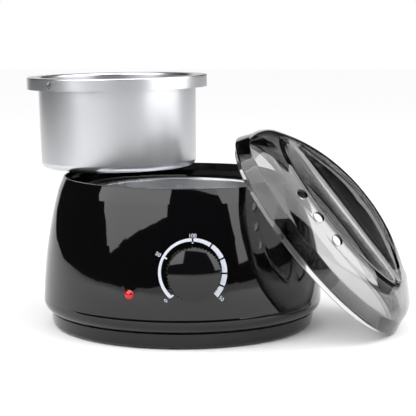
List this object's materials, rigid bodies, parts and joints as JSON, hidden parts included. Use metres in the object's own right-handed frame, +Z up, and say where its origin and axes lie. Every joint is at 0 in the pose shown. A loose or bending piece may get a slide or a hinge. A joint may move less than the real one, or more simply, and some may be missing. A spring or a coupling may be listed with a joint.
{
  "type": "wax melter",
  "caption": "Electric candle wax melter: round glossy warmer with temperature dial and pilot light, lift-out metal pot standing on its rim and a clear smoked lid leaning against it.",
  "frame": {"origin": "on the table, under the axis of the round warmer", "axes": "+Z up, -Y towards the dial's side, +X towards the leaning lid"},
  "size_m": [0.2665, 0.227, 0.1677],
  "materials": {
    "housing": "polished moulded ABS",
    "plinth": "moulded ABS, slightly duller",
    "feet": "moulded rubber",
    "screws": "zinc plated",
    "well": "spun satin",
    "heater": "mica and ceramic, matt",
    "contacts": "stamped brass",
    "steel": "mill finish",
    "felt": "glass-fibre felt",
    "fuse": "drawn case",
    "thermostat": "moulded phenolic",
    "knob": "moulded ABS",
    "print": "pad-printed ink",
    "lens": "moulded clear red",
    "holder": "moulded nylon",
    "lamp": "glass tube",
    "block": "moulded nylon",
    "wire": "silicone sleeve",
    "pot": "spun satin",
    "lid": "smoked clear polycarbonate"
  },
  "bodies": {
    "warmer": {"housing_shell": "housing", "well_deck": "housing", "base_plinth": "plinth", "rubber_feet": "feet", "base_screws": "screws", "wax_well": "well", "heater_band": "heater", "heater_terminals": "contacts", "band_strap": "steel", "strap_bolt": "screws", "insulation_sleeve": "felt", "retaining_bridge": "steel", "bridge_screws": "screws", "well_nut": "screws", "thermal_fuse": "fuse", "fuse_clip": "steel", "clip_nut": "screws", "thermostat_body": "thermostat", "thermostat_tabs": "contacts", "thermostat_nut": "screws", "dial_scale": "print", "indicator_lens": "lens", "lamp_holder": "holder", "indicator_lamp": "lamp", "terminal_block": "block", "terminal_screws": "contacts", "cord_bushing": "feet", "wiring": "wire"},
    "knob": {"control_knob": "knob", "thermostat_shaft": "steel"},
    "pot": {"wax_pot": "pot"},
    "lid": {"lid_shell": "lid"}
  },
  "joints": [
    {"name": "knob_turn", "type": "hinge", "parent": "warmer", "child": "knob", "pos_m": [0.00808, -0.09234, 0.0501], "axis": [0.0869, -0.9938, 0.0698], "range_deg": [-56, 218]},
    {"name": "pot_lift", "type": "slide", "parent": "warmer", "child": "pot", "axis": [0, 0, 1], "range_m": [0, 0.1]},
    {"name": "lid_lift", "type": "slide", "parent": "warmer", "child": "lid", "axis": [0.7453, -0.1721, 0.6441], "range_m": [0, 0.08]}
  ]
}
